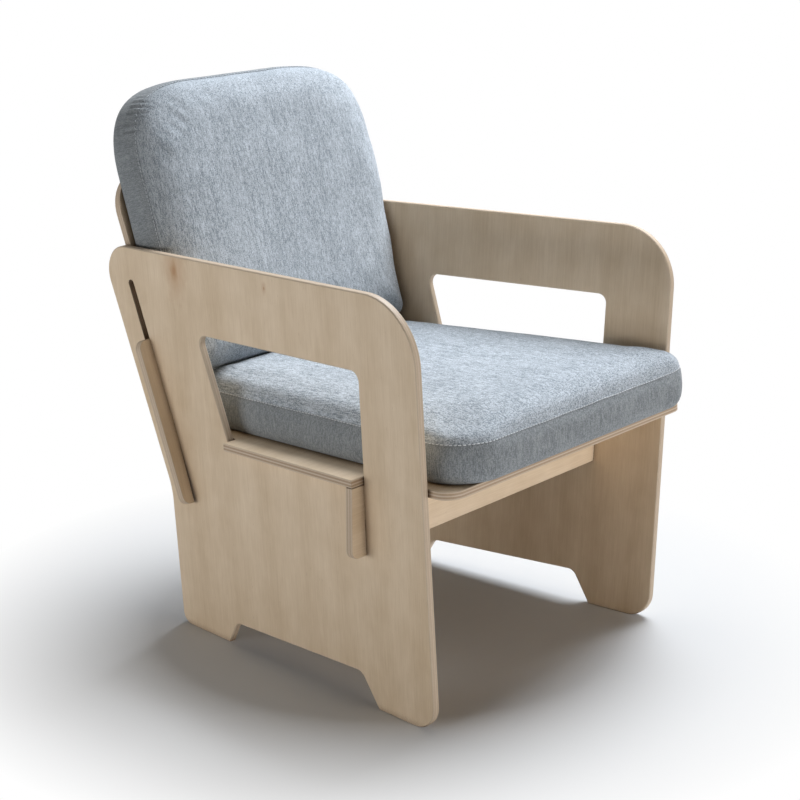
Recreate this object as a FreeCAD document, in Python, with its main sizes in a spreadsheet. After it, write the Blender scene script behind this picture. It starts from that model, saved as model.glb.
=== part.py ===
import FreeCAD, Part
import math
import os
import re

import Sketcher

# Accent chair: five plywood boards slotted together and two loose cushions.
# +Z is up, the chair faces -Y, +X is the sitter's left. Lengths in millimetres, angles in degrees.
# A point on a side panel is given by its y and z on the panel's outer face.

SIZES = {
    # Boards and fits
    "board_thickness": 12.0,
    "board_ease": 1.6,
    "slot_clearance": 0.3,
    "rest_gap": 0.05,
    # Stance of the side panels
    "panel_offset": 253.0,
    "toe_in": 4.41,
    "panel_lean": 3.868,
    # Side panel outline, from the front foot round to the top
    "foot_front_y": -331.0,
    "foot_front_round": 42.0,
    "front_foot_rear_y": -216.0,
    "arch_front_y": -182.0,
    "arch_front_z": 51.0,
    "arch_rear_y": 103.0,
    "arch_rear_z": 39.0,
    "arch_round": 18.0,
    "rear_foot_front_y": 125.0,
    "rear_foot_rear_y": 241.0,
    "rear_foot_round": 20.0,
    "rear_bend_y": 242.0,
    "rear_bend_z": 234.0,
    "rear_bend_round": 120.0,
    "arm_rear_y": 374.0,
    "arm_rear_z": 620.0,
    "arm_rear_round": 48.0,
    "arm_front_y": -322.5,
    "arm_front_z": 643.5,
    "arm_front_round": 93.0,
    "foot_trim": 1.0,
    # Window above the seat
    "window_front_z": 523.6,
    "window_rear_y": 144.5,
    "window_rear_z": 510.0,
    "window_rake": 18.86,
    "window_round": 15.0,
    # Front rail
    "rail_front_y": -208.5,
    "rail_bottom_z": 246.5,
    "rail_lap_z": 301.0,
    "rail_reach": 24.8,
    "rail_round": 14.0,
    # Seat board
    "seat_slope": 3.17,
    "seat_base_z": 344.44,
    "seat_nose_y": -367.4,
    "seat_nose_round": 28.0,
    "seat_side_gap": 1.0,
    "seat_rear_gap": 0.8,
    "wing_taper": 6.65,
    "wing_gap": 0.5,
    # Back board
    "back_foot_y": 105.4,
    "recline_angle": 18.25,
    "back_bottom_w": 239.7,
    "back_lap_w": 330.6,
    "ear_top_w": 506.5,
    "back_top_w": 767.6,
    "back_side_gap": 1.8,
    "back_top_round": 60.0,
    "ear_reach": 24.5,
    "ear_bottom_round": 15.0,
    "ear_top_round": 15.0,
    "back_slot_top_w": 603.0,
    # Seat cushion
    "soft_gap": 0.3,
    "seat_cushion_front_y": -384.0,
    "seat_cushion_far_gap": 0.5,
    "seat_cushion_near_front_gap": 17.6,
    "seat_cushion_near_rear_gap": 25.0,
    "seat_front_round": 58.0,
    "seat_rear_round": 30.0,
    "seat_seam_height": 57.0,
    "seat_wall_bulge": 10.0,
    "seat_base_round": 9.0,
    "seat_top_round": 30.0,
    "seat_crown": 7.0,
    "seat_crown_reach": 150.0,
    # Back cushion
    "back_cushion_rest_gap": 0.5,
    "back_cushion_side_gap": 1.8,
    "back_cushion_length": 462.0,
    "back_cushion_far_spread": 13.0,
    "back_cushion_near_spread": 2.0,
    "back_corner_round": 95.0,
    "back_base_corner_round": 28.0,
    "back_seam_height": 58.0,
    "back_wall_bulge": 4.0,
    "back_base_round": 9.0,
    "back_top_edge_round": 32.0,
    "back_crown": 7.0,
    "back_crown_reach": 110.0,
    # Covers and zips
    "seam_half_width": 2.5,
    "cover_thickness": 2.0,
    "foam_gap": 0.3,
    "seat_foam_inset": 16.0,
    "seat_foam_height": 62.0,
    "seat_foam_cut": 0.08,
    "back_foam_inset": 10.0,
    "back_foam_height": 63.0,
    "back_foam_cut": 0.14,
    "zip_length": 400.0,
    "zip_width": 16.0,
    "zip_tape_thickness": 1.2,
    "zip_inset": 0.6,
    "zip_fit": 0.2,
    "coil_width": 4.2,
    "coil_height": 0.8,
    "stop_length": 2.5,
    "slider_length": 11.0,
    "slider_width": 8.0,
    "slider_height": 3.2,
    "slider_round": 2.5,
    "slider_play": 0.15,
}

doc = FreeCAD.newDocument("AccentChair")
sheet = doc.addObject("Spreadsheet::Sheet", "Sizes")
for row, (name, number) in enumerate(SIZES.items(), start=1):
    sheet.set("A%d" % row, name)
    sheet.set("B%d" % row, "%g" % number)
    sheet.setAlias("B%d" % row, name)
doc.recompute()

nodes = []


def bind(formula):
    """Makes the size names in a formula refer to the sheet."""
    return re.sub(r"[a-z]+(?:_[a-z]+)+", lambda word: "Sizes." + word.group(0), formula)


def value(formula):
    """Current number of a formula."""
    return float(sheet.evalExpression(bind(formula)))


# Formulas of the chair's planes

def outer_x(y, z):
    """Outer face of the side panel on +X."""
    return f"(panel_offset - ({y}) * tan(toe_in) + ({z}) * tan(panel_lean) / cos(toe_in))"


def inner_x(y, z):
    """Inner face of the side panel on +X."""
    return f"({outer_x(y, z)} - board_thickness / (cos(toe_in) * cos(panel_lean)))"


def on_panel(y, z):
    """Sketch coordinates on a side panel of a point on its outer face."""
    along = f"(({y}) - ({z}) * tan(panel_lean) * sin(toe_in)) / cos(toe_in)"
    return along, f"({z}) / cos(panel_lean)"


def back_y(w, off="0"):
    """World y at height w along the back board and at off in front of its face."""
    return f"(back_foot_y + ({w}) * sin(recline_angle) - ({off}) * cos(recline_angle))"


def back_z(w, off="0"):
    """World z of the same point."""
    return f"(({w}) * cos(recline_angle) + ({off}) * sin(recline_angle))"


def seat_under_z(y):
    """World z of the seat board's underside."""
    return f"(seat_base_z - ({y}) * tan(seat_slope))"


# A straight cut through a leaning panel comes out this much further forward, up or askew
CUT_SHIFT_Y = "board_thickness * sin(toe_in) * cos(panel_lean)"
CUT_SHIFT_Z = "board_thickness * sin(panel_lean)"
CUT_SHIFT_BACK = (
    "board_thickness * (sin(toe_in) * cos(panel_lean) * cos(recline_angle)"
    " + sin(panel_lean) * sin(recline_angle))"
)
CUT_SHIFT_LAP = (
    "board_thickness * (sin(panel_lean) * cos(recline_angle)"
    " - sin(toe_in) * cos(panel_lean) * sin(recline_angle))"
)
RAIL_REAR_Y = "(rail_front_y + board_thickness)"
RAIL_END_X = f"({outer_x('rail_front_y', seat_under_z('rail_front_y'))} + rail_reach)"
WINDOW_LOW_Y = (
    "((window_rear_y - tan(window_rake) * (window_rear_z - seat_base_z + " + CUT_SHIFT_Z + "))"
    " / (1 + tan(window_rake) * tan(seat_slope)))"
)
SEAT_REAR_Q = (
    "((back_foot_y + seat_base_z * tan(recline_angle) - seat_rear_gap)"
    " / (cos(seat_slope) + tan(recline_angle) * sin(seat_slope)))"
)


# Building blocks

def start_body(label):
    """Empty body that becomes one exported piece."""
    body = doc.addObject("PartDesign::Body", label)
    body.Label = label
    nodes.append(body)
    return body


def place(body, base, angles):
    """Sets a body's position and its yaw, pitch and roll from formulas."""
    vector = "create(<<vector>>; %s; %s; %s)" % tuple(base)
    turn = "create(<<rotation>>; %s; %s; %s)" % tuple(angles)
    body.setExpression("Placement", bind(f"create(<<placement>>; {vector}; {turn})"))


def corner_arc(points, index, radius):
    """Arc that rounds one corner, and whether the outline turns left there."""
    corner = points[index]
    to_last = (points[index - 1] - corner).normalize()
    to_next = (points[(index + 1) % len(points)] - corner).normalize()
    half = to_last.getAngle(to_next) / 2
    reach = radius / math.tan(half)
    centre = corner + (to_last + to_next).normalize() * (radius / math.sin(half))
    ends = [corner + to_last * reach, corner + to_next * reach]
    left = to_last.cross(to_next).z < 0
    spokes = [end - centre for end in (ends if left else ends[::-1])]
    angles = [math.atan2(spoke.y, spoke.x) for spoke in spokes]
    if angles[1] < angles[0]:
        angles[1] += 2 * math.pi
    circle = Part.Circle(centre, FreeCAD.Vector(0, 0, 1), radius)
    return Part.ArcOfCircle(circle, *angles), ends, left


def add_loop(sketch, corners):
    """Adds a closed outline. A corner is x and y, and a radius where it is round, as formulas."""
    points = [FreeCAD.Vector(value(corner[0]), value(corner[1]), 0) for corner in corners]
    arcs = []
    for index, corner in enumerate(corners):
        rounded = len(corner) > 2
        arcs.append(corner_arc(points, index, value(corner[2])) if rounded else None)
    lines = []
    for index, corner in enumerate(corners):
        after = (index + 1) % len(corners)
        begin = arcs[index][1][1] if arcs[index] else points[index]
        end = arcs[after][1][0] if arcs[after] else points[after]
        lines.append(sketch.addGeometry(Part.LineSegment(begin, end)))
    for index, corner in enumerate(corners):
        before, line = lines[index - 1], lines[index]
        if arcs[index]:
            arc, _, left = arcs[index]
            curve = sketch.addGeometry(arc)
            anchor = sketch.addGeometry(Part.Point(points[index]), True)
            first, last = (1, 2) if left else (2, 1)
            rules = [
                Sketcher.Constraint("Tangent", before, 2, curve, first),
                Sketcher.Constraint("Tangent", curve, last, line, 1),
                Sketcher.Constraint("PointOnObject", anchor, 1, before),
                Sketcher.Constraint("PointOnObject", anchor, 1, line),
            ]
            sketch.addConstraint(rules)
            radius = sketch.addConstraint(Sketcher.Constraint("Radius", curve, arc.Radius))
            sketch.setExpression("Constraints[%d]" % radius, bind(corner[2]))
            held = anchor
        else:
            sketch.addConstraint(Sketcher.Constraint("Coincident", before, 2, line, 1))
            held = line
        for kind, formula in (("DistanceX", corner[0]), ("DistanceY", corner[1])):
            rule = Sketcher.Constraint(kind, -1, 1, held, 1, value(formula))
            number = sketch.addConstraint(rule)
            sketch.setExpression("Constraints[%d]" % number, bind(formula))


def draw(body, name, loops, plane="XY_Plane", offset=None):
    """Sketch on one of the body's own planes, moved along the plane's normal by offset."""
    sketch = body.newObject("Sketcher::SketchObject", body.Label + "_" + name)
    origin = next(item for item in body.Origin.OriginFeatures if item.Role == plane)
    sketch.AttachmentSupport = [(origin, "")]
    sketch.MapMode = "FlatFace"
    if offset:
        sketch.setExpression("AttachmentOffset.Base.z", bind(offset))
    for loop in loops:
        add_loop(sketch, loop)
    return sketch


def extrude(body, kind, sketch, length, side="One side", reverse=False):
    """Pad or Pocket of a sketch; a pocket has to take material away."""
    before = body.Shape.Volume if kind == "Pocket" else None
    feature = body.newObject("PartDesign::" + kind, sketch.Label.replace("_sketch", "") + "_cut")
    feature.Profile = sketch
    feature.SideType = side
    feature.Reversed = reverse
    feature.setExpression("Length", bind(length))
    doc.recompute()
    if before is not None and not body.Shape.Volume < before - 1:
        raise RuntimeError(feature.Label + " takes nothing away")
    return feature


def pad(body, sketch, length, reverse=False):
    """Board cut to an outline."""
    return extrude(body, "Pad", sketch, length, reverse=reverse)


def pocket(body, sketch, length):
    """Cut to both sides of the sketch."""
    return extrude(body, "Pocket", sketch, length, side="Symmetric")


def ease_edges(body, feature, width, keep):
    """Chamfer of the feature's edges that keep accepts."""
    names = []
    for number, edge in enumerate(feature.Shape.Edges, start=1):
        if keep(edge.BoundBox):
            names.append("Edge%d" % number)
    chamfer = body.newObject("PartDesign::Chamfer", body.Label + "_edges")
    chamfer.Base = (feature, names)
    chamfer.setExpression("Size", bind(width))
    doc.recompute()
    return chamfer


def in_board_plane(box):
    """True for an edge that lies in a board's face."""
    return box.ZLength < 1e-4


def mirrored(half):
    """Full outline from its +X half, given from low to high."""
    other = [("-(" + corner[0] + ")", *corner[1:]) for corner in reversed(half)]
    return half + other


def loft(body, kind, sketches):
    """Straight-sided loft through sketches."""
    feature = body.newObject("PartDesign::" + kind, body.Label + "_" + kind)
    feature.Profile = sketches[0]
    feature.Sections = sketches[1:]
    feature.Ruled = True
    doc.recompute()
    return feature


# Side panels

def panel_corner(y, z, radius=None):
    """Corner of a panel outline."""
    return on_panel(y, z) + ((radius,) if radius else ())


def side_panel(label, side):
    """One side panel; side is 1 on +X and -1 on -X."""
    body = start_body(label)
    outline = [
        panel_corner("foot_front_y", "-foot_trim", "foot_front_round"),
        panel_corner("front_foot_rear_y", "-foot_trim"),
        panel_corner("arch_front_y", "arch_front_z", "arch_round"),
        panel_corner("arch_rear_y", "arch_rear_z", "arch_round"),
        panel_corner("rear_foot_front_y", "-foot_trim"),
        panel_corner("rear_foot_rear_y", "-foot_trim", "rear_foot_round"),
        panel_corner("rear_bend_y", "rear_bend_z", "rear_bend_round"),
        panel_corner("arm_rear_y", "arm_rear_z", "arm_rear_round"),
        panel_corner("arm_front_y", "arm_front_z", "arm_front_round"),
    ]
    front = "(rail_front_y - slot_clearance / 2)"
    sill = CUT_SHIFT_Z + " + rest_gap"
    window = [
        panel_corner(front, f"{seat_under_z(front)} - {sill}"),
        panel_corner(WINDOW_LOW_Y, f"{seat_under_z(WINDOW_LOW_Y)} - {sill}"),
        panel_corner("window_rear_y", "window_rear_z", "window_round"),
        panel_corner(front, "window_front_z", "window_round"),
    ]
    board = pad(body, draw(body, "outline", [outline, window]), "board_thickness", side > 0)
    ease_edges(body, board, "board_ease", in_board_plane)

    # Slot for the rail, down from the window's front corner
    rear = f"({RAIL_REAR_Y} + {CUT_SHIFT_Y} + slot_clearance / 2)"
    floor = f"(rail_lap_z - {CUT_SHIFT_Z} - rest_gap)"
    top = f"({seat_under_z(front)} + board_thickness)"
    rail_slot = [
        panel_corner(front, floor),
        panel_corner(rear, floor),
        panel_corner(rear, top),
        panel_corner(front, top),
    ]
    pocket(body, draw(body, "rail_slot", [rail_slot]), "5 * board_thickness")

    # Slanted slot that the back board's ear passes through and drops in
    ahead = "slot_clearance / 2"
    behind = f"-(board_thickness + {CUT_SHIFT_BACK} + slot_clearance / 2)"
    low = f"(back_lap_w - {CUT_SHIFT_LAP} - rest_gap)"
    high = "back_slot_top_w"
    end_round = f"0.48 * (board_thickness + {CUT_SHIFT_BACK} + slot_clearance)"
    back_slot = [
        panel_corner(back_y(low, ahead), back_z(low, ahead)),
        panel_corner(back_y(low, behind), back_z(low, behind)),
        panel_corner(back_y(high, behind), back_z(high, behind), end_round),
        panel_corner(back_y(high, ahead), back_z(high, ahead), end_round),
    ]
    pocket(body, draw(body, "back_slot", [back_slot]), "5 * board_thickness")

    # Feet cut level with the floor
    reach = "(3 * board_thickness)"
    rise = f"{side} * {reach} * tan(panel_lean)"
    level = [
        (f"-{reach}", f"-{reach}"),
        (f"-({rise})", f"-{reach}"),
        (rise, reach),
        (f"-{reach}", reach),
    ]
    level_sketch = draw(body, "level", [level], plane="YZ_Plane")
    pocket(body, level_sketch, "2.5 * (rear_foot_rear_y - foot_front_y)")
    place(
        body,
        (f"{side} * panel_offset", "0", "0"),
        (f"90 + {side} * toe_in", "0", f"90 + {side} * panel_lean"),
    )


side_panel("side_panel_left", 1)
side_panel("side_panel_right", -1)


# Front rail, upright, half-lapped with both panels

def rail_board():
    """Front rail with an open notch over each side panel."""
    body = start_body("front_rail")
    half = []
    for z in ("rail_bottom_z", "rail_lap_z"):
        half.append((f"({inner_x(RAIL_REAR_Y, z)} - slot_clearance / 2)", z))
    for z in ("rail_lap_z", "rail_bottom_z"):
        half.append((f"({outer_x('rail_front_y', z)} + slot_clearance / 2)", z))
    top = f"({seat_under_z(RAIL_REAR_Y)} - rest_gap)"
    half.append((RAIL_END_X, "rail_bottom_z", "rail_round"))
    half.append((RAIL_END_X, top))
    board = pad(body, draw(body, "outline", [mirrored(half)]), "board_thickness")
    ease_edges(body, board, "board_ease / 2", in_board_plane)
    place(body, ("0", RAIL_REAR_Y, "0"), ("0", "0", "90"))


rail_board()


# Seat board, lying on the windows' sills

def seat_corner(x, y, radius=None):
    """Corner of the seat board from its x and world y."""
    return (x, f"({y}) / cos(seat_slope)") + ((radius,) if radius else ())


def seat_side_x(y):
    """Edge of the seat board between the panels."""
    return f"({inner_x(y, seat_under_z(y))} - seat_side_gap)"


def wing_x(y):
    """Outer edge of the seat board's wing."""
    return f"({RAIL_END_X} - (({y}) - rail_front_y) * tan(wing_taper))"


def seat_board():
    """Seat board with a wing through each window and a round-cornered nose."""
    body = start_body("seat_board")
    front = "(rail_front_y + slot_clearance / 2)"
    rear = f"({WINDOW_LOW_Y} - {CUT_SHIFT_Y} - wing_gap)"
    last = f"({SEAT_REAR_Q} * cos(seat_slope))"
    half = [
        seat_corner(seat_side_x("seat_nose_y"), "seat_nose_y", "seat_nose_round"),
        seat_corner(seat_side_x(front), front),
        seat_corner(wing_x(front), front),
        seat_corner(wing_x(rear), rear),
        seat_corner(seat_side_x(rear), rear),
        seat_corner(seat_side_x(last), last),
    ]
    board = pad(body, draw(body, "outline", [mirrored(half)]), "board_thickness")
    ease_edges(body, board, "board_ease / 2", in_board_plane)
    place(body, ("0", "0", "seat_base_z"), ("0", "0", "-seat_slope"))


seat_board()


# Back board, leaning, with a notched ear hooked over each side panel

def back_board():
    """Back board; an ear's notch is wide enough to lift off the spreading panels."""
    body = start_body("back_board")

    def inner(w):
        return inner_x(back_y(w, "-board_thickness"), back_z(w, "-board_thickness"))

    def outer(w):
        return outer_x(back_y(w), back_z(w))

    ear_edge = "{} + ear_reach"
    notch = f"({outer('back_lap_w')} + slot_clearance / 2)"
    half = [
        (f"({inner('back_bottom_w')} - slot_clearance / 2)", "back_bottom_w"),
        (f"({inner('back_lap_w')} - slot_clearance / 2)", "back_lap_w"),
        (notch, "back_lap_w"),
        (notch, "back_bottom_w"),
        (ear_edge.format(outer("back_bottom_w")), "back_bottom_w", "ear_bottom_round"),
        (ear_edge.format(outer("ear_top_w")), "ear_top_w", "ear_top_round"),
        (f"({inner('ear_top_w')} - back_side_gap)", "ear_top_w"),
        (f"({inner('back_top_w')} - back_side_gap)", "back_top_w", "back_top_round"),
    ]
    board = pad(body, draw(body, "outline", [mirrored(half)]), "board_thickness")
    ease_edges(body, board, "board_ease / 2", in_board_plane)
    off = "board_thickness"
    place(body, ("0", back_y("0", "-" + off), back_z("0", "-" + off)), ("0", "0", "90 - recline_angle"))


back_board()


# Cushions

def cushion_levels(seam, bulge, base, top, crown, reach):
    """Height and inset of a cushion's cross-sections, from its base to its crown."""
    edge = f"{seam} + 0.85 * {top}"
    inset = f"{bulge} + {top}"
    return [
        ("0", f"0.3 * {bulge} + {base}"),
        (f"0.3 * {base}", f"0.3 * {bulge} + 0.3 * {base}"),
        (base, f"0.15 * {bulge}"),
        (f"0.45 * {seam}", "0"),
        (f"0.75 * {seam}", f"0.3 * {bulge}"),
        (f"{seam} - seam_half_width", f"0.7 * {bulge}"),
        (seam, f"{bulge} + 0.4 * seam_half_width"),
        (f"{seam} + seam_half_width", f"0.8 * {bulge}"),
        (f"{seam} + 0.5 * {top}", f"{bulge} + 0.25 * {top}"),
        (edge, inset),
        (f"{edge} + 0.5 * {crown}", f"{inset} + 0.3 * {reach}"),
        (f"{edge} + 0.85 * {crown}", f"{inset} + 0.65 * {reach}"),
        (f"{edge} + {crown}", f"{inset} + {reach}"),
    ]


def cut_corners(corners, part):
    """Outline with each corner cut off, by that part of its sides' lengths."""
    cut = []
    for index, (x, y, _) in enumerate(corners):
        for other in (corners[index - 1], corners[(index + 1) % len(corners)]):
            cut.append(tuple(f"({a} + ({b} - {a}) * {part})" for a, b in ((x, other[0]), (y, other[1]))))
    return cut


def cushion_form(body, levels, corners):
    """Crowned outer form of a cushion, drawn in at its seam."""
    sketches = []
    for number, (height, inset) in enumerate(levels):
        sketches.append(draw(body, f"level{number}", [corners(f"({inset})")], offset=height))
    return loft(body, "AdditiveLoft", sketches)


def foam_outline(prefix, corners, gap="0"):
    """Outline of a cushion's foam block, with its corners cut off."""
    return cut_corners(corners(f"({prefix}_foam_inset - {gap})"), prefix + "_foam_cut")


def zip_box(length, width, middle):
    """Rectangle across a cushion's wall, centred on the zip."""
    return [
        (f"-({length}) / 2", f"{middle} - ({width}) / 2"),
        (f"({length}) / 2", f"{middle} - ({width}) / 2"),
        (f"({length}) / 2", f"{middle} + ({width}) / 2"),
        (f"-({length}) / 2", f"{middle} + ({width}) / 2"),
    ]


def cushion(prefix, levels, corners, wall, outward, middle, base, angles):
    """Cover, foam, zip and slider of one cushion. The zip's wall is at wall, facing outward."""
    cover = start_body(prefix + "_cushion_cover")
    cushion_form(cover, levels, corners)
    room = foam_outline(prefix, corners, "foam_gap")
    room_sketch = draw(cover, "room", [room], offset="cover_thickness")
    height = prefix + "_foam_height"
    extrude(cover, "Pocket", room_sketch, f"{height} + 2 * foam_gap", reverse=True)
    # The XZ plane's normal is -Y, so an offset is the negative of y
    recess = zip_box("zip_length + zip_fit * 2", "zip_width + zip_fit * 2", middle)
    recess_sketch = draw(cover, "recess", [recess], plane="XZ_Plane", offset=f"-({wall})")
    pocket(cover, recess_sketch, "2 * (zip_inset + zip_tape_thickness)")

    foam = start_body(prefix + "_cushion_foam")
    block = foam_outline(prefix, corners)
    pad(foam, draw(foam, "block", [block], offset="cover_thickness + foam_gap"), height)

    # Tape in the recess, then the coil on it and a stop at each end
    tape = start_body(prefix + "_cushion_zip")
    reverse = outward > 0
    face = f"-({wall} - {outward} * zip_inset)"
    under = f"-({wall} - {outward} * (zip_inset + zip_tape_thickness))"
    strip = zip_box("zip_length", "zip_width", middle)
    strip_sketch = draw(tape, "tape", [strip], plane="XZ_Plane", offset=under)
    pad(tape, strip_sketch, "zip_tape_thickness", reverse)
    coil = zip_box("zip_length - 2 * stop_length", "coil_width", middle)
    coil_sketch = draw(tape, "coil", [coil], plane="XZ_Plane", offset=face)
    pad(tape, coil_sketch, "coil_height", reverse)
    stops = zip_box("zip_length - stop_length", "coil_width / 2", middle)
    stops_sketch = draw(tape, "stops", [stops], plane="XZ_Plane", offset=face)
    pad(tape, stops_sketch, "2 * coil_height", reverse)
    groove = zip_box("zip_length - 3 * stop_length", "coil_width * 2", middle)
    groove_sketch = draw(tape, "track", [groove], plane="XZ_Plane", offset=f"{face} - {outward} * 1.5 * coil_height")
    pocket(tape, groove_sketch, "coil_height")

    # Locking slider with a channel over the coil
    slider = start_body(prefix + "_zip_slider")
    start_x = "-(zip_length / 2 - 2.5 * stop_length - slider_length / 2)"
    tip = "slider_width / 2"
    block = [
        (f"{start_x} - slider_length / 2", f"{middle} - {tip}", "slider_round"),
        (f"{start_x} + slider_length / 2", f"{middle} - 0.8 * {tip}", "slider_round"),
        (f"{start_x} + slider_length / 2", f"{middle} + 0.8 * {tip}", "slider_round"),
        (f"{start_x} - slider_length / 2", f"{middle} + {tip}", "slider_round"),
    ]
    seat_of_slider = f"-({wall} - {outward} * (zip_inset - slider_play))"
    block_sketch = draw(slider, "block", [block], plane="XZ_Plane", offset=seat_of_slider)
    pad(slider, block_sketch, "slider_height", reverse)
    channel = [
        (f"{start_x} - slider_length", f"{middle} - coil_width / 2 - slider_play"),
        (f"{start_x} + slider_length", f"{middle} - coil_width / 2 - slider_play"),
        (f"{start_x} + slider_length", f"{middle} + coil_width / 2 + slider_play"),
        (f"{start_x} - slider_length", f"{middle} + coil_width / 2 + slider_play"),
    ]
    channel_sketch = draw(slider, "channel", [channel], plane="XZ_Plane", offset=face)
    pocket(slider, channel_sketch, "2 * (coil_height + slider_play)")

    for piece in (cover, foam, tape, slider):
        place(piece, base, angles)


def seat_cushion_corners(inset):
    """Seat cushion's outline; it lies against the +X panel and a little askew."""
    front = "(seat_cushion_front_y / cos(seat_slope))"

    def panel_side(q, gap):
        z = f"(seat_base_z + 2 * board_thickness - ({q}) * sin(seat_slope))"
        return f"({inner_x(f'({q}) * cos(seat_slope)', z)} - {gap} - {inset})"

    near_rear = panel_side(SEAT_REAR_Q, "seat_cushion_near_rear_gap")
    near_front = panel_side(front, "seat_cushion_near_front_gap")
    front_edge = f"{front} + {inset}"
    rear_edge = f"{SEAT_REAR_Q} - {inset}"
    return [
        (panel_side(front, "seat_cushion_far_gap"), front_edge, "seat_front_round"),
        (panel_side(SEAT_REAR_Q, "seat_cushion_far_gap"), rear_edge, "seat_rear_round"),
        ("-" + near_rear, rear_edge, "seat_rear_round"),
        ("-" + near_front, front_edge, "seat_front_round"),
    ]


seat_levels = cushion_levels(
    "seat_seam_height",
    "seat_wall_bulge",
    "seat_base_round",
    "seat_top_round",
    "seat_crown",
    "seat_crown_reach",
)
SEAT_TOP = "(board_thickness + soft_gap)"
cushion(
    "seat",
    seat_levels,
    seat_cushion_corners,
    SEAT_REAR_Q,
    1,
    "0.45 * seat_seam_height",
    ("0", f"{SEAT_TOP} * sin(seat_slope)", f"seat_base_z + {SEAT_TOP} * cos(seat_slope)"),
    ("0", "0", "-seat_slope"),
)

# The back cushion stands on the rear edge of the seat cushion's top
EDGE_Q = f"({SEAT_REAR_Q} - seat_wall_bulge - seat_top_round)"
EDGE_E = f"({SEAT_TOP} + seat_seam_height + 0.85 * seat_top_round)"
EDGE_Y = f"({EDGE_Q} * cos(seat_slope) + {EDGE_E} * sin(seat_slope))"
EDGE_Z = f"(seat_base_z - {EDGE_Q} * sin(seat_slope) + {EDGE_E} * cos(seat_slope))"
BACK_LOW_W = (
    f"(({EDGE_Y} - back_foot_y) * sin(recline_angle) + {EDGE_Z} * cos(recline_angle)"
    " + back_cushion_rest_gap)"
)


def back_cushion_corners(inset):
    """Back cushion's outline on the back board; it spreads a little towards its top."""
    side = f"({inner_x(back_y(BACK_LOW_W), back_z(BACK_LOW_W))} - back_cushion_side_gap - {inset})"
    low = f"({BACK_LOW_W} + {inset})"
    high = f"({BACK_LOW_W} + back_cushion_length - {inset})"
    return [
        (side, low, "back_base_corner_round"),
        (f"({side} + back_cushion_far_spread)", high, "back_corner_round"),
        (f"-({side} + back_cushion_near_spread)", high, "back_corner_round"),
        (f"-{side}", low, "back_base_corner_round"),
    ]


back_levels = cushion_levels(
    "back_seam_height",
    "back_wall_bulge",
    "back_base_round",
    "back_top_edge_round",
    "back_crown",
    "back_crown_reach",
)
cushion(
    "back",
    back_levels,
    back_cushion_corners,
    BACK_LOW_W,
    -1,
    "0.45 * back_seam_height",
    ("0", back_y("0", "soft_gap"), back_z("0", "soft_gap")),
    ("0", "0", "90 - recline_angle"),
)


# Check every object, then write one file per piece

doc.recompute()
for item in doc.Objects:
    if "Invalid" in item.State or "Error" in item.State:
        raise RuntimeError(f"{item.Label} did not recompute: {item.State}")
os.makedirs("parts", exist_ok=True)
for node in nodes:
    shape = node.Shape
    if shape.isNull() or not shape.isValid() or len(shape.Solids) != 1:
        raise RuntimeError(node.Label + " is not one valid solid")
    shape.exportStep("parts/" + node.Label + ".step")
    box = shape.BoundBox
    corners = (box.XMin, box.YMin, box.ZMin, box.XMax, box.YMax, box.ZMax)
    print(node.Label, ["%.1f" % corner for corner in corners], "volume %.0f" % shape.Volume)
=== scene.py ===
"""Looks of the accent chair: birch plywood boards and two cushions in a woven cover."""
import math

import bmesh
import bpy
from bpy.props import FloatProperty, FloatVectorProperty, IntProperty, PointerProperty
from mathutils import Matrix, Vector, noise


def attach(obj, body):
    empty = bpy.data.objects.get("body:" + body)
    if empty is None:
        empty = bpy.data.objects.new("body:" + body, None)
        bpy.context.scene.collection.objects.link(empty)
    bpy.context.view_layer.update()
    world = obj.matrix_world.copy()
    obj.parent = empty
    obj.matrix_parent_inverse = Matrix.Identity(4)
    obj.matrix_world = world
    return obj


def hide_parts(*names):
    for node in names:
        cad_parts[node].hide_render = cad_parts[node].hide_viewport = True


bl_info = {
    "name": "Accent chair looks",
    "version": (1, 0, 0),
    "blender": (4, 5, 0),
    "location": "View3D > Sidebar > Chair",
    "description": "Dresses the chair's boards with birch plywood and makes its cushions and studio",
    "category": "Object",
}

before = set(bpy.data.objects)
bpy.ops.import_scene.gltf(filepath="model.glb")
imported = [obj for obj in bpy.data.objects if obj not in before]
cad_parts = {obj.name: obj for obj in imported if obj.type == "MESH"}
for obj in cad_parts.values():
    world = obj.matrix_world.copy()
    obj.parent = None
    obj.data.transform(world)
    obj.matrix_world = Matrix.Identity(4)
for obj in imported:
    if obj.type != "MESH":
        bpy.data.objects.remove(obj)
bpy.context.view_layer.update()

MM = 0.001

# Directions and places of the boards, as in the construction
TOE_IN = math.radians(4.41)
PANEL_LEAN = math.radians(3.868)
SEAT_SLOPE = math.radians(3.17)
RECLINE = math.radians(18.25)
BOARD = 12 * MM
PANEL_AT_ORIGIN = 253 * MM
SEAT_BASE_Z = 344.44 * MM
BACK_FOOT_Y = 105.4 * MM
RAIL_MIDDLE = (0.0, -202.5 * MM, 300.0 * MM)
SOFT_GAP = 0.3 * MM


def srgb(hex_colour):
    """Linear colour of an sRGB hex value."""
    parts = [int(hex_colour[i:i + 2], 16) / 255 for i in (1, 3, 5)]
    linear = [c / 12.92 if c <= 0.04045 else ((c + 0.055) / 1.055) ** 2.4 for c in parts]
    return (*linear, 1.0)


def colour_setting(name, note, hex_colour):
    """Colour property with an sRGB default."""
    return FloatVectorProperty(
        name=name, description=note, size=4, subtype="COLOR", min=0, max=1, default=srgb(hex_colour)
    )


def length_setting(name, note, millimetres):
    """Length property with its default in millimetres."""
    return FloatProperty(name=name, description=note, unit="LENGTH", default=millimetres * MM)


def lamp_setting(name, note, watts):
    """Power of a lamp."""
    return FloatProperty(name=name, description=note, unit="POWER", default=watts)


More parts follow.
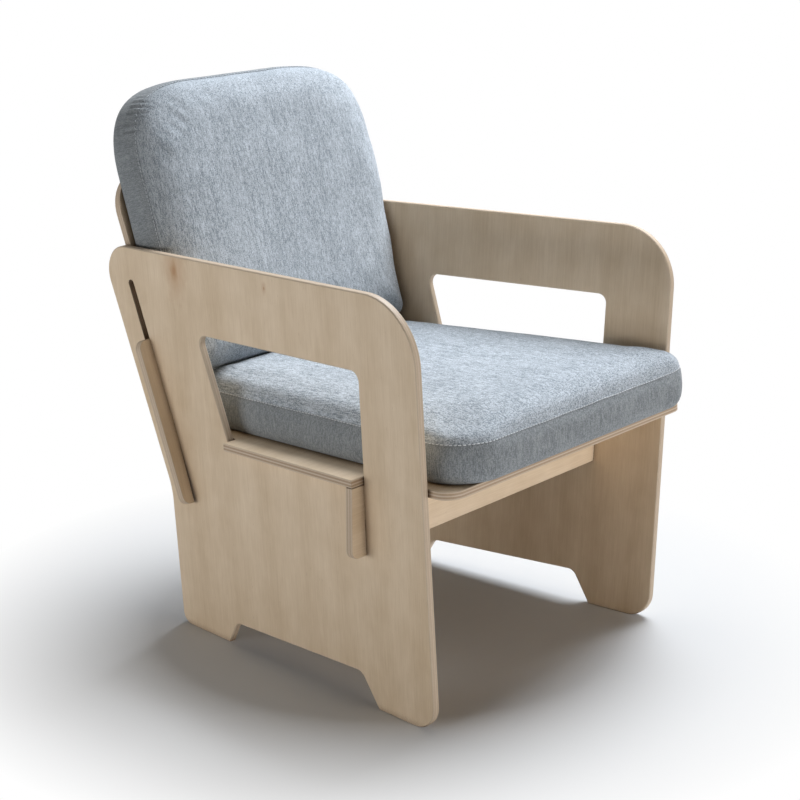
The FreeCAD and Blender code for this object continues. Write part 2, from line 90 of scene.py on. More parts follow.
def panel_axes(side):
    """Across the grain, along the grain and out of the face of a side panel."""
    u = Vector((-side * math.sin(TOE_IN), math.cos(TOE_IN), 0))
    out = Vector((
        side * math.cos(TOE_IN) * math.cos(PANEL_LEAN),
        math.sin(TOE_IN) * math.cos(PANEL_LEAN),
        -math.sin(PANEL_LEAN),
    ))
    return u, u.cross(out) * -side, out


def seat_axes():
    """Across, rearwards and upwards on the seat board."""
    x = Vector((1, 0, 0))
    q = Vector((0, math.cos(SEAT_SLOPE), -math.sin(SEAT_SLOPE)))
    return x, q, x.cross(q)


def back_axes():
    """Across, up the slope and forwards on the back board."""
    x = Vector((1, 0, 0))
    w = Vector((0, math.sin(RECLINE), math.cos(RECLINE)))
    return x, w, x.cross(w)


# Settings

class TimberSettings(bpy.types.PropertyGroup):
    """Birch plywood"""
    plies: IntProperty(name="Plies", description="Bands drawn on a 12 mm edge", default=5, min=3)
    face_light: colour_setting("Face, light", "Early wood of the face veneer", "#EAD6BB")
    face_dark: colour_setting("Face, dark", "Late wood of the face veneer", "#D1B999")
    edge_light: colour_setting("Edge, light", "Plies cut along their grain", "#D0BEA7")
    edge_dark: colour_setting("Edge, dark", "Plies cut across their grain", "#A4886D")
    glue: colour_setting("Glue lines", "Lines between the plies", "#86694F")
    fleck: colour_setting("Pith flecks", "Brown ticks in the face veneer", "#9C7A55")
    knot: colour_setting("Knot", "Heart of a knot", "#B08155")
    knot_ring: colour_setting("Knot's ring", "Wood that is stained around a knot", "#C09770")
    # Painted shade: the tone that darkens the wood in corners and slots
    corner: colour_setting("Corner", "Tone of corners and slots against the open faces", "#A08F80")


class FabricSettings(bpy.types.PropertyGroup):
    """Woven cover"""
    light: colour_setting("Light yarn", "Pale yarn of the melange", "#C9D1D9")
    dark: colour_setting("Dark yarn", "Grey yarn of the melange", "#7F8890")
    # Partly painted highlight: a real seam thread, drawn paler than the cloth to stand for the light that
    # the seam's ridge catches
    thread: colour_setting("Sewing thread", "Pale thread of the seat cushion's seam", "#EBEFF3")
    back_thread: colour_setting("Back thread", "Matching thread of the back cushion's seam", "#CAD0D6")
    # Painted shade: the tone that darkens the boxing below the seam, and the back cushion's rounded edge
    # beside -X
    boxing: colour_setting("Boxing", "Tone of the boxing, whose nap lies the other way", "#D1CFCB")
    pitch: length_setting("Yarn pitch", "Distance between neighbouring yarns", 1.3)
    sheen: FloatProperty(name="Sheen", description="Nap that catches light at a low angle", default=0.12)
    tape: colour_setting("Zip tape", "Woven tape of the zips", "#9AA1A9")
    slider: colour_setting("Zip slider", "Nickel plate of the sliders", "#B9B9B6")


class CushionSettings(bpy.types.PropertyGroup):
    """Cushions"""
    spacing: length_setting("Mesh spacing", "Distance between mesh lines", 5.6)
    stitch: length_setting("Stitch", "Length of a stitch with its gap", 6.5)
    thread: length_setting("Thread", "Thickness of the sewing thread", 1.4)
    pressure: FloatProperty(
        name="Filling pressure", description="Push of the filling in the cloth simulation", default=4.0
    )


class StageSettings(bpy.types.PropertyGroup):
    """Camera, lamps and floor"""
    lens: FloatProperty(name="Lens", description="Focal length in mm on a 36 mm sensor", default=85.45)
    place: FloatVectorProperty(
        name="Camera place", description="Where the camera stands", size=3, unit="LENGTH",
        default=(-2.1779, -1.9057, 1.2505),
    )
    view: FloatVectorProperty(
        name="Camera view", description="Direction that the camera looks in", size=3,
        default=(0.7240, 0.6257, -0.2904),
    )
    key: lamp_setting("Key lamp", "Power of the lamp above the far arm", 118)
    top: lamp_setting("Top lamp", "Power of the lamp overhead", 16)
    front: lamp_setting("Front lamp", "Power of the low lamp in front", 25)
    side: lamp_setting("Side lamp", "Power of the low lamp on the near side", 26)
    around: FloatProperty(
        name="Surroundings", description="Strength of the light from all around", default=0.03
    )
    floor: colour_setting("Floor", "Pale matt floor", "#CED0D2")


# Nodes

def add_node(tree, kind, settings=None, **links):
    """Adds a node with its settings; each link is a value or another node's socket.

    A link's name is the input's name with _ for a space, or i and its number.
    """
    node = tree.nodes.new(kind)
    for key, entry in (settings or {}).items():
        setattr(node, key, entry)
    for key, source in links.items():
        if key[0] == "i" and key[1:].isdigit():
            socket = node.inputs[int(key[1:])]
        else:
            socket = node.inputs[key.replace("_", " ")]
        if isinstance(source, bpy.types.NodeSocket):
            tree.links.new(source, socket)
        else:
            socket.default_value = source
    return node


def maths(tree, operation, *values):
    """Result of a Math node."""
    links = {f"i{n}": entry for n, entry in enumerate(values)}
    return add_node(tree, "ShaderNodeMath", {"operation": operation}, **links).outputs[0]


def total(tree, *parts):
    """Sum of (socket, weight) pairs."""
    result = 0.0
    for socket, weight in parts:
        result = maths(tree, "MULTIPLY_ADD", socket, weight, result)
    return result


def vector_maths(tree, operation, *values):
    """Result of a Vector Math node."""
    links = {f"i{n}": entry for n, entry in enumerate(values)}
    node = add_node(tree, "ShaderNodeVectorMath", {"operation": operation}, **links)
    return node.outputs["Value" if operation in ("DOT_PRODUCT", "LENGTH") else "Vector"]


def noise_at(tree, vector, scale, stretch=(1.0, 1.0, 1.0), detail=2.0, roughness=0.5):
    """Noise from 0 to 1, its features 1/scale metres wide, drawn out along the axes by stretch."""
    scaled = vector_maths(tree, "MULTIPLY", vector, tuple(scale / s for s in stretch))
    node = add_node(tree, "ShaderNodeTexNoise", None, Vector=scaled, Scale=1.0, Detail=detail,
                    Roughness=roughness)
    return node.outputs["Fac"]


def remap(tree, source, low, high, to_low=0.0, to_high=1.0):
    """Source's span from low to high brought to another span and held in it."""
    node = add_node(tree, "ShaderNodeMapRange", {"clamp": True}, Value=source, From_Min=low, From_Max=high,
                    To_Min=to_low, To_Max=to_high)
    return node.outputs["Result"]


def mix_colour(tree, factor, first, second):
    """Mix of two colours."""
    node = add_node(tree, "ShaderNodeMix", {"data_type": "RGBA"}, i0=factor, i6=first, i7=second)
    return node.outputs[2]


def mix_value(tree, factor, first, second):
    """Mix of two numbers."""
    return add_node(tree, "ShaderNodeMix", {"data_type": "FLOAT"}, i0=factor, i2=first, i3=second).outputs[0]


def background_rays(tree):
    """1 for the rays that are to see a white background: camera, glossy and transmitted ones."""
    path = add_node(tree, "ShaderNodeLightPath")
    kinds = ("Is Camera Ray", "Is Glossy Ray", "Is Transmission Ray")
    return maths(tree, "MINIMUM", total(tree, *((path.outputs[kind], 1.0) for kind in kinds)), 1.0)


def new_material(name):
    """Material that holds one Principled shader; returns the material, its tree and the shader."""
    material = bpy.data.materials.new(name)
    material.use_nodes = True
    tree = material.node_tree
    tree.nodes.clear()
    shader = add_node(tree, "ShaderNodeBsdfPrincipled")
    output = add_node(tree, "ShaderNodeOutputMaterial")
    tree.links.new(shader.outputs[0], output.inputs[0])
    return material, tree, shader


def own_coordinates(tree, directions, middle):
    """A piece's own coordinates, together and one by one, and its faces' direction: all move with it."""
    source = add_node(tree, "ShaderNodeTexCoord")
    place = vector_maths(tree, "SUBTRACT", source.outputs["Object"], tuple(middle))
    parts = [vector_maths(tree, "DOT_PRODUCT", place, tuple(d)) for d in directions]
    joined = add_node(tree, "ShaderNodeCombineXYZ", None, X=parts[0], Y=parts[1], Z=parts[2]).outputs[0]
    return joined, parts, source.outputs["Normal"]


# Materials

def birch_plywood(name, directions, middle, knots=(), seed=0.0, banding=1.0):
    """Birch plywood, rotary-cut, sanded and oiled: pale faces with a soft figure, and plies on every edge.

    Each knot is its place across and along the grain, and its radius. Banding sets how strongly the
    plies differ, which falls as an edge is sanded finer.
    """
    colours = bpy.context.scene.timber
    material, tree, shader = new_material(name)
    local, (across, along, depth), facing = own_coordinates(tree, directions, middle)
    own = vector_maths(tree, "ADD", local, (seed, seed * 1.7, seed * 0.6))

    # Rotary-cut figure: bands some 80 mm apart that wander slowly up the board
    wander = noise_at(tree, own, 4.0, (1.0, 3.5, 1.0), 3.0, 0.5)
    phase = total(tree, (across, 75.0), (wander, 13.0))
    figure = maths(tree, "MULTIPLY_ADD", maths(tree, "SINE", phase), 0.5, 0.5)
    # Fibres 1 mm wide and 50 mm long, and streaks of 8 mm by 250 mm
    fibres = noise_at(tree, own, 900.0, (1.0, 45.0, 1.0), 3.0, 0.6)
    streaks = noise_at(tree, own, 120.0, (1.0, 30.0, 1.0), 2.0, 0.5)
    # Clouds some 140 mm wide, and blotches of 25 mm where the fibres dip in and out of the face
    clouds = noise_at(tree, own, 7.0, (1.0, 2.0, 1.0), 2.0, 0.5)
    blotches = noise_at(tree, own, 42.0, (1.0, 1.6, 1.0), 2.0, 0.5)
    tone = total(tree, (figure, 0.10), (fibres, 0.42), (streaks, 0.16), (clouds, 0.36), (blotches, 0.24))
    late = remap(tree, tone, 0.44, 0.84)
    face = mix_colour(tree, late, tuple(colours.face_light), tuple(colours.face_dark))
    # Pith flecks: brown ticks 1 mm wide and 6 mm long
    flecks = noise_at(tree, own, 520.0, (1.0, 6.0, 1.0), 1.0, 0.4)
    face = mix_colour(tree, remap(tree, flecks, 0.76, 0.84, 0.0, 0.3), face, tuple(colours.fleck))
    for knot_across, knot_along, radius in knots:
        offset = vector_maths(tree, "SUBTRACT", local, (knot_across, knot_along, 0.0))
        ripple = noise_at(tree, own, 90.0, (1.0, 2.0, 1.0), 2.0, 0.6)
        reach = vector_maths(tree, "LENGTH", vector_maths(tree, "MULTIPLY", offset, (1.0, 0.5, 0.0)))
        reach = maths(tree, "MULTIPLY", reach, maths(tree, "MULTIPLY_ADD", ripple, 1.4, 0.35))
        ring = remap(tree, reach, radius, radius * 3.2, 0.45, 0.0)
        face = mix_colour(tree, ring, face, tuple(colours.knot_ring))
        heart = remap(tree, reach, radius * 0.25, radius, 0.75, 0.0)
        face = mix_colour(tree, heart, face, tuple(colours.knot))

    # Plies through the thickness, along and across in turn, with glue lines between. The real
    # veneers are 1.3 mm; they are drawn 2.4 mm wide because thinner ones don't show
    count = float(colours.plies)
    ply = maths(tree, "MULTIPLY", maths(tree, "MULTIPLY_ADD", depth, 1.0 / BOARD, 0.5), count)
    turn = maths(tree, "MODULO", maths(tree, "FLOOR", ply), 2.0)
    within = maths(tree, "FRACT", ply)
    near_glue = maths(tree, "MINIMUM", within, maths(tree, "SUBTRACT", 1.0, within))
    grit = noise_at(tree, own, 700.0, (1.0, 1.0, 1.0), 2.0, 0.6)
    shade = remap(tree, total(tree, (turn, 0.62 * banding), (grit, 0.36)), 0.1, 1.0)
    edge = mix_colour(tree, shade, tuple(colours.edge_light), tuple(colours.edge_dark))
    glue_line = remap(tree, near_glue, 0.04, 0.14, 0.4 * banding, 0.0)
    edge = mix_colour(tree, glue_line, edge, tuple(colours.glue))
    out_of_face = maths(tree, "ABSOLUTE", vector_maths(tree, "DOT_PRODUCT", facing, tuple(directions[2])))
    is_edge = remap(tree, out_of_face, 0.9, 0.97, 1.0, 0.0)
    # Painted shade: corners and slots, where ambient occlusion finds other surfaces within 22 mm, are
    # darkened in the colour itself
    open_sky = add_node(tree, "ShaderNodeAmbientOcclusion", {"samples": 4}, Distance=22 * MM).outputs["AO"]
    wood = mix_colour(tree, is_edge, face, edge)
    painted_corner_shade = vector_maths(tree, "MULTIPLY", wood, tuple(colours.corner)[:3])
    wood = mix_colour(tree, remap(tree, open_sky, 0.15, 0.75, 1.0, 0.0), wood, painted_corner_shade)
    tree.links.new(wood, shader.inputs["Base Color"])

    # Oil leaves a satin that the pores break up; sanded edges are softened
    tree.links.new(remap(tree, fibres, 0.3, 0.7, 0.45, 0.6), shader.inputs["Roughness"])
    soften = add_node(tree, "ShaderNodeBevel", {"samples": 4}, Radius=0.8 * MM)
    bump = add_node(tree, "ShaderNodeBump", None, Strength=0.3, Distance=0.15 * MM, Height=fibres,
                    Normal=soften.outputs[0])
    tree.links.new(bump.outputs[0], shader.inputs["Normal"])
    shader.inputs["IOR"].default_value = 1.48
    shader.inputs["Specular IOR Level"].default_value = 0.4
    return material


def woven_melange(name, directions, origin, seam_height, seed=0.0, coarse=1.0, shade=0.0):
    """Upholstery weave of pale and grey yarns, piece-dyed and brushed: a soft cloth with a faint nap.

    Above the seam the yarns run with the panel; below it they run up the boxing. Where the cloth
    is only seen slantwise, its yarns are drawn coarser, or else they don't show. The boxing's tone
    is painted shade that darkens the cloth below the seam. Shade is how much of that painted shade
    goes on over the rounded edge beside -X.
    """
    settings = bpy.context.scene.fabric
    material, tree, shader = new_material(name)
    local, (across, along, height), _ = own_coordinates(tree, directions, origin)
    own = vector_maths(tree, "ADD", local, (seed, seed * 1.3, seed * 0.7))
    on_top = remap(tree, height, seam_height - 0.5 * MM, seam_height + 0.5 * MM)

    def yarns(scale, panel_stretch, detail, roughness):
        """Noise drawn out along the panel on top, and up the boxing below the seam."""
        upright = (panel_stretch[0], panel_stretch[2], panel_stretch[1])
        top = noise_at(tree, own, scale, panel_stretch, detail, roughness)
        wall = noise_at(tree, own, scale, upright, detail, roughness)
        return mix_value(tree, on_top, wall, top)

    # Warp slubs 1.2 mm by 9 mm, weft slubs 1.2 mm by 3 mm, streaks of 4 mm by 50 mm, and specks of
    # the two yarns, which are 0.5 mm in the cloth and drawn 1.2 mm wide because finer ones don't show
    warp = yarns(800.0 / coarse, (1.0, 7.0, 1.0), 2.0, 0.65)
    weft = yarns(820.0 / coarse, (2.6, 1.0, 1.0), 2.0, 0.65)
    streaks = yarns(240.0, (1.0, 12.0, 1.0), 2.0, 0.5)
    nap = noise_at(tree, own, 22.0, (1.0, 1.0, 1.0), 3.0, 0.6)
    specks = noise_at(tree, own, 800.0 / coarse, (1.0, 1.0, 1.0), 1.0, 0.6)
    tone = total(tree, (warp, 0.74), (weft, 0.42), (streaks, 0.24), (nap, 0.18), (specks, 0.66))
    blend = remap(tree, tone, 0.97, 1.27)
    blend = mix_value(tree, on_top, remap(tree, blend, 0.0, 1.0, 0.16, 0.84), blend)
    cloth = mix_colour(tree, blend, tuple(settings.dark), tuple(settings.light))
    # Painted shade: the boxing tone darkens the cloth below the seam, and by shade over the rounded edge
    # beside -X
    rounded = remap(tree, height, seam_height, seam_height + 32 * MM, shade, 0.0)
    beside = remap(tree, across, -110 * MM, -230 * MM)
    clear = maths(tree, "SUBTRACT", on_top, maths(tree, "MULTIPLY", rounded, beside))
    boxing_shade = mix_colour(tree, clear, tuple(settings.boxing), (1.0, 1.0, 1.0, 1.0))
    tree.links.new(vector_maths(tree, "MULTIPLY", cloth, boxing_shade), shader.inputs["Base Color"])

    # Plain weave: yarns stand proud in turn. They are 0.5 mm apart in the cloth, and drawn at the
    # setting's pitch because finer ones don't show
    turns = math.pi / settings.pitch
    girth = mix_value(tree, on_top, maths(tree, "ADD", across, along), across)
    rise = mix_value(tree, on_top, height, along)
    first = maths(tree, "SINE", maths(tree, "MULTIPLY", girth, turns))
    second = maths(tree, "SINE", maths(tree, "MULTIPLY", rise, turns))
    weave = maths(tree, "MULTIPLY_ADD", maths(tree, "MULTIPLY", first, second), 0.5, 0.5)
    lift = total(tree, (weave, 0.5), (warp, 0.5), (weft, 0.5))
    bump = add_node(tree, "ShaderNodeBump", None, Strength=0.6, Distance=0.5 * MM, Height=lift)
    tree.links.new(bump.outputs[0], shader.inputs["Normal"])
    tree.links.new(remap(tree, blend, 0.0, 1.0, 0.95, 0.82), shader.inputs["Roughness"])
    shader.inputs["Specular IOR Level"].default_value = 0.25
    shader.inputs["Sheen Weight"].default_value = settings.sheen
    shader.inputs["Sheen Roughness"].default_value = 0.5
    return material


def fine_grained(name, colour, roughness, metallic=0.0, grain=900.0, spread=0.15):
    """Finish of a small part, broken up by a grain some 1 mm wide so that it isn't one flat colour."""
    material, tree, shader = new_material(name)
    source = add_node(tree, "ShaderNodeTexCoord")
    speck = noise_at(tree, source.outputs["Object"], grain)
    darker = tuple(c * (1 - spread) for c in colour[:3]) + (1.0,)
    tree.links.new(mix_colour(tree, speck, darker, colour), shader.inputs["Base Color"])
    uneven = remap(tree, speck, 0.3, 0.7, roughness * 0.85, min(roughness * 1.15, 1.0))
    tree.links.new(uneven, shader.inputs["Roughness"])
    bump = add_node(tree, "ShaderNodeBump", None, Strength=0.2, Distance=0.1 * MM, Height=speck)
    tree.links.new(bump.outputs[0], shader.inputs["Normal"])
    shader.inputs["Metallic"].default_value = metallic
    return material


def dress(node, material):
    """Gives a CAD node one material."""
    piece = bpy.data.objects[node]
    piece.data.materials.clear()
    piece.data.materials.append(material)


def add_piece(name, mesh, body, material):
    """New object that rides on a body and takes its finish from a slot."""
    piece = bpy.data.objects.new(name, mesh)
    bpy.context.scene.collection.objects.link(piece)
    mesh.materials.append(material)
    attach(piece, body)
    return piece


# Cushion forms

ARC_STEPS = 24
CLOTH_FRAMES = 20
WAVE_SEED = 5
STITCH_SIDES = 6
# Share of the stitch's length, and thickness there: a rod that rounds off at its ends, then a gap
STITCH_PROFILE = ((0.0, 0.25), (0.1, 0.85), (0.39, 1.0), (0.68, 0.85), (0.78, 0.25))


class Outline:
    """Closed outline with rounded corners, walked by the same stations at every inset.

    A corner's power is 2 for a round arc; above that, the arc starts more gently.
    """

    def __init__(self, corners, radii, powers, counts):
        self.corners = [Vector(c) for c in corners]
        self.radii = radii
        self.powers = powers
        self.counts = counts

    def inset(self, distance):
        """Outline moved in on every side; its corners get tighter only slowly."""
        moved = []
        count = len(self.corners)
        for i in range(count):
            here = self.corners[i]
            before = (here - self.corners[i - 1]).normalized()
            after = (self.corners[(i + 1) % count] - here).normalized()
            in_before, in_after = Vector((-before.y, before.x)), Vector((-after.y, after.x))
            moved.append(here + (in_before + in_after) * (distance / (1 + in_before.dot(in_after))))
        radii = [max(r - 0.6 * distance, 0.35 * r) for r in self.radii]
        return Outline(moved, radii, self.powers, self.counts)

    def sides(self):
        """Stations of each side, from the middle of one corner's arc to the middle of the next."""
        count = len(self.corners)
        halves = []
        for i in range(count):
            here = self.corners[i]
            to_last = (self.corners[i - 1] - here).normalized()
            to_next = (self.corners[(i + 1) % count] - here).normalized()
            half = to_last.angle(to_next) / 2
            centre = here + (to_last + to_next).normalized() * (self.radii[i] / math.sin(half))
            reach = self.radii[i] / math.tan(half)
            first, last = here + to_last * reach - centre, here + to_next * reach - centre
            arc = []
            for k in range(2 * ARC_STEPS + 1):
                turn = math.pi / 2 * k / (2 * ARC_STEPS)
                shares = [max(f(turn), 0.0) ** (2 / self.powers[i]) for f in (math.cos, math.sin)]
                arc.append(centre + first * shares[0] + last * shares[1])
            halves.append((arc[:ARC_STEPS + 1], arc[ARC_STEPS:]))
        walks = []
        for i in range(count):
            path = halves[i][1] + halves[(i + 1) % count][0]
            walks.append(spread_points(path, self.counts[i]))
        return walks


def spread_points(path, steps):
    """Points at equal distances along a path, its first included and its last left out."""
    lengths = [0.0]
    for a, b in zip(path, path[1:]):
        lengths.append(lengths[-1] + (b - a).length)
    points = []
    part = 0
    for k in range(steps):
        target = lengths[-1] * k / steps
        while lengths[part + 1] < target:
            part += 1
        span = lengths[part + 1] - lengths[part]
        points.append(path[part].lerp(path[part + 1], (target - lengths[part]) / span if span else 0.0))
    return points


def coons_grid(sides):
    """Grid of plan points that fills a ring of four sides; row 0 is side 0."""
    n, m = len(sides[0]), len(sides[1])
    low = sides[0] + [sides[1][0]]
    right = sides[1] + [sides[2][0]]
    high = [sides[3][0]] + sides[2][::-1]
    left = [sides[0][0]] + sides[3][::-1]
    grid = []
    for j in range(m + 1):
        v = j / m
        row = []
        for i in range(n + 1):
            u = i / n
            flat = (low[0] * (1 - u) + low[n] * u) * (1 - v) + (high[0] * (1 - u) + high[n] * u) * v
            row.append(low[i] * (1 - v) + high[i] * v + left[j] * (1 - u) + right[j] * u - flat)
        grid.append(row)
    return grid


class Cushion:
    """A cushion in its own frame: outline in its base plane and height above it."""

    def __init__(self, body, outline, levels, crown, directions, origin):
        self.body = body
        self.outline = outline
        self.levels = levels
        self.crown = crown
        self.directions = directions
        self.origin = Vector(origin)

    def to_world(self, point):
        """World place of a point of the cushion's frame."""
        ax, ay, az = self.directions
        return self.origin + ax * point.x + ay * point.y + az * point.z

    def build(self):
        """Closed mesh of quads in the cushion's own frame, its rings of vertices, and its base grid."""
        mesh = bmesh.new()
        rings = []
        for height, inset in self.levels:
            sides = self.outline.inset(inset).sides()
            rings.append([mesh.verts.new((p.x, p.y, height)) for side in sides for p in side])
        around = len(rings[0])
        for low, high in zip(rings, rings[1:]):
            for k in range(around):
                k2 = (k + 1) % around
                mesh.faces.new((low[k], low[k2], high[k2], high[k]))
        height, inset = self.levels[-1]
        self.fill(mesh, rings[-1], self.outline.inset(inset), height, self.crown)
        height, inset = self.levels[0]
        base = self.fill(mesh, rings[0], self.outline.inset(inset), height, 0.0, flip=True)
        for face in mesh.faces:
            face.smooth = True
        mesh.verts.index_update()
        return mesh, rings, base

    def fill(self, mesh, ring, outline, height, crown, flip=False):
        """Fills a ring with a grid of vertices, raised to the crown in the middle."""
        grid = coons_grid(outline.sides())
        m, n = len(grid) - 1, len(grid[0]) - 1
        verts = []
        for j in range(m + 1):
            row = []
            for i in range(n + 1):
                if j == 0:
                    vert = ring[i]
                elif i == n:
                    vert = ring[n + j]
                elif j == m:
                    vert = ring[n + m + (n - i)]
                elif i == 0:
                    vert = ring[n + m + n + (m - j)]
                else:
                    u, v = 2 * i / n - 1, 2 * j / m - 1
                    rise = crown * (1 - u ** 4) ** 0.8 * (1 - v ** 4) ** 0.8
                    vert = mesh.verts.new((*grid[j][i], height + rise))
                row.append(vert)
            verts.append(row)
        for j in range(m):
            for i in range(n):
                quad = (verts[j][i], verts[j][i + 1], verts[j + 1][i + 1], verts[j + 1][i])
                mesh.faces.new(quad[::-1] if flip else quad)
        return verts


def fill_cloth(piece, held, cap, pressure):
    """Lets the filling push the cover out in a cloth simulation, and keeps its result in the mesh."""
    start = [v.co.copy() for v in piece.data.vertices]
    group = piece.vertex_groups.new(name="Sewn")
    for weight, numbers in held:
        group.add(numbers, weight, "REPLACE")
    cloth = piece.modifiers.new("Cloth", "CLOTH")
    cloth.settings.quality = 4
    cloth.settings.mass = 0.3
    cloth.settings.tension_stiffness = 15
    cloth.settings.compression_stiffness = 15
    cloth.settings.shear_stiffness = 5
    cloth.settings.bending_stiffness = 0.4
    cloth.settings.use_pressure = True
    cloth.settings.uniform_pressure_force = pressure
    cloth.settings.vertex_group_mass = group.name
    cloth.settings.effector_weights.gravity = 0
    cloth.point_cache.frame_start = 1
    cloth.point_cache.frame_end = CLOTH_FRAMES
    scene = bpy.context.scene
    for number in range(1, CLOTH_FRAMES + 1):
        scene.frame_set(number)
    moved = piece.evaluated_get(bpy.context.evaluated_depsgraph_get()).to_mesh()
    if len(moved.vertices) != len(start):
        raise RuntimeError("the cloth simulation changed the mesh")
    steps = [there.co - begun for there, begun in zip(moved.vertices, start)]
    piece.modifiers.remove(cloth)
    piece.vertex_groups.remove(group)
    for vert, begun, step in zip(piece.data.vertices, start, steps):
        if step.length > cap:
            step *= cap / step.length
        vert.co = begun + step
    scene.frame_set(1)
    largest = max(s.length for s in steps)
    print("cloth", piece.name, len(start), "points, largest move", round(largest / MM, 2), "mm")


def stitch_mesh(name, path, normals, length, thickness):
    """Run of stitches: small rounded rods laid end to end along a closed path."""
    mesh = bmesh.new()
    closed = path + [path[0]]
    outward = normals + [normals[0]]
    lengths = [0.0]
    for a, b in zip(closed, closed[1:]):
        lengths.append(lengths[-1] + (b - a).length)
    count = max(8, round(lengths[-1] / length))

    def at(distance):
        """Point and outward direction at a distance along the path."""
        distance %= lengths[-1]
        low, high = 0, len(lengths) - 1
        while high - low > 1:
            mid = (low + high) // 2
            if lengths[mid] <= distance:
                low = mid
            else:
                high = mid
        t = (distance - lengths[low]) / max(lengths[low + 1] - lengths[low], 1e-9)
        return closed[low].lerp(closed[low + 1], t), outward[low].lerp(outward[low + 1], t).normalized()

    pitch = lengths[-1] / count
    for number in range(count):
        rings = []
        for along, size in STITCH_PROFILE:
            point, out = at((number + along) * pitch)
            ahead, _ = at((number + along) * pitch + 0.2 * pitch)
            direction = (ahead - point).normalized()
            side = direction.cross(out).normalized()
            dip = -0.35 * thickness * (1 - size)
            rings.append([
                mesh.verts.new(
                    point + out * dip
                    + (side * math.cos(a) + out * math.sin(a)) * (0.5 * thickness * size)
                )
                for a in (math.tau * k / STITCH_SIDES for k in range(STITCH_SIDES))
            ])
        for low, high in zip(rings, rings[1:]):
            for k in range(STITCH_SIDES):
                k2 = (k + 1) % STITCH_SIDES
                mesh.faces.new((low[k], low[k2], high[k2], high[k]))
        mesh.faces.new(rings[0][::-1])
        mesh.faces.new(rings[-1])
    bmesh.ops.recalc_face_normals(mesh, faces=mesh.faces)
    for face in mesh.faces:
        face.smooth = True
    data = bpy.data.meshes.new(name)
    mesh.to_mesh(data)
    mesh.free()
    return data


def make_cushion(cushion, shape, cap, seed, coarse, proud, thread_colour, shade=0.0):
    """Cushion's cover and its seam, in place of the cover and foam of the frame.

    Shape forms the cover once it is filled. Cap is how far the filling may move a point, and proud
    how far the stitches stand out of the seam's groove. The other values go to the cloth.
    """
    settings = bpy.context.scene.cushions
    body = cushion.body
    material = woven_melange(body + "_woven_melange", cushion.directions, cushion.origin,
                             cushion.levels[SEAM][0], seed, coarse, shade)
    thread = fine_grained(body + "_polyester_thread", tuple(thread_colour), 0.6, spread=0.3)
    mesh, rings, base = cushion.build()
    limits = [v.co.copy() for v in rings[WIDEST]]
    rings = [[v.index for v in ring] for ring in rings]
    base = sorted({v.index for row in base for v in row})
    data = bpy.data.meshes.new(body + "_cover_mesh")
    mesh.to_mesh(data)
    mesh.free()
    piece = add_piece(body + "_cover_cloth", data, body, material)
    held = [(1.0, base), (0.9, rings[1]), (0.85, rings[SEAM])]
    fill_cloth(piece, held, cap, settings.pressure)
    around = len(limits)
    outward = []
    for k in range(around):
        along = limits[(k + 1) % around] - limits[k - 1]
        outward.append(Vector((along.y, -along.x, 0)).normalized())
    # Uneven filling: waves 1 mm high and some 60 mm long, above the flat base. Without a seed,
    # noise_vector takes one from the clock and the waves differ from run to run
    noise.seed_set(WAVE_SEED)
    for vert in data.vertices:
        if vert.co.z > 4 * MM:
            vert.co += noise.noise_vector(vert.co * 17.0) * 1.0 * MM
    # No side swells past the widest ring, which stands clear of the panels
    for ring in rings:
        for k, number in enumerate(ring):
            vert = data.vertices[number]
            over = (vert.co - limits[k]).dot(outward[k])
            if over > 0:
                vert.co -= outward[k] * over
    shape(data, rings, outward)
    seam = rings[SEAM]
    path = [cushion.to_world(data.vertices[n].co + outward[k] * proud) for k, n in enumerate(seam)]
    ax, ay, _ = cushion.directions
    normals = [(ax * o.x + ay * o.y).normalized() for o in outward]
    for vert in data.vertices:
        vert.co = cushion.to_world(vert.co)
    smooth = piece.modifiers.new("Soft", "SUBSURF")
    smooth.levels = 1
    smooth.render_levels = 1
    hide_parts(body + "_cover", body + "_foam")
    stitches = stitch_mesh(body + "_seam_mesh", path, normals, settings.stitch, settings.thread)
    add_piece(body + "_seam", stitches, body, thread)


# Seat cushion and back cushion

# A cushion's rings by number: its widest, its seam's, and those under the zip's tape
WIDEST = 6
SEAM = 13
ZIP_RINGS = (5, 6, 7)
# The strip of the wall that the tape lies in, in millimetres
TAPE_HALF_WIDTH = 8.3
STRIP_HALF_WIDTH = 9.5
STRIP_HALF_LENGTH = 201
STRIP_DEPTH = 2.9


def cushion_levels(seam, bulge, base, top, roll):
    """Heights and insets of a cushion's rings, from its base to the edge of its top panel.

    All are given in millimetres: the seam's height, how far the wall bulges, how far its foot is
    rounded, and the height of the top panel above the seam. Roll is the width of the top panel's
    rounded edge as a share of its height.
    """
    zip_middle = 0.45 * seam
    foot = 0.3 * bulge
    edge = roll * top
    rows = [
        (0.0, foot + base),
        (0.15 * base, foot + 0.62 * base),
        (0.42 * base, foot + 0.26 * base),
        (base, 0.15 * bulge + 0.05 * base),
        (zip_middle - STRIP_HALF_WIDTH, 0.03 * bulge),
        (zip_middle - TAPE_HALF_WIDTH, 0.02 * bulge),
        (zip_middle, 0.0),
        (zip_middle + TAPE_HALF_WIDTH, 0.09 * bulge),
        (zip_middle + STRIP_HALF_WIDTH, 0.12 * bulge),
        (0.73 * seam, 0.29 * bulge),
        (0.82 * seam, 0.49 * bulge),
        (0.90 * seam, 0.70 * bulge),
        (seam - 2.6, 0.84 * bulge),
        (seam, bulge + 2.0),
        (seam + 2.2, 0.95 * bulge),
        (seam + 0.32 * top, bulge + 0.06 * edge),
        (seam + 0.54 * top, bulge + 0.18 * edge),
        (seam + 0.72 * top, bulge + 0.41 * edge),
        (seam + 0.83 * top, bulge + 0.68 * edge),
        (seam + 0.90 * top, bulge + edge),
    ]
    return [(h * MM, inset * MM) for h, inset in rows]


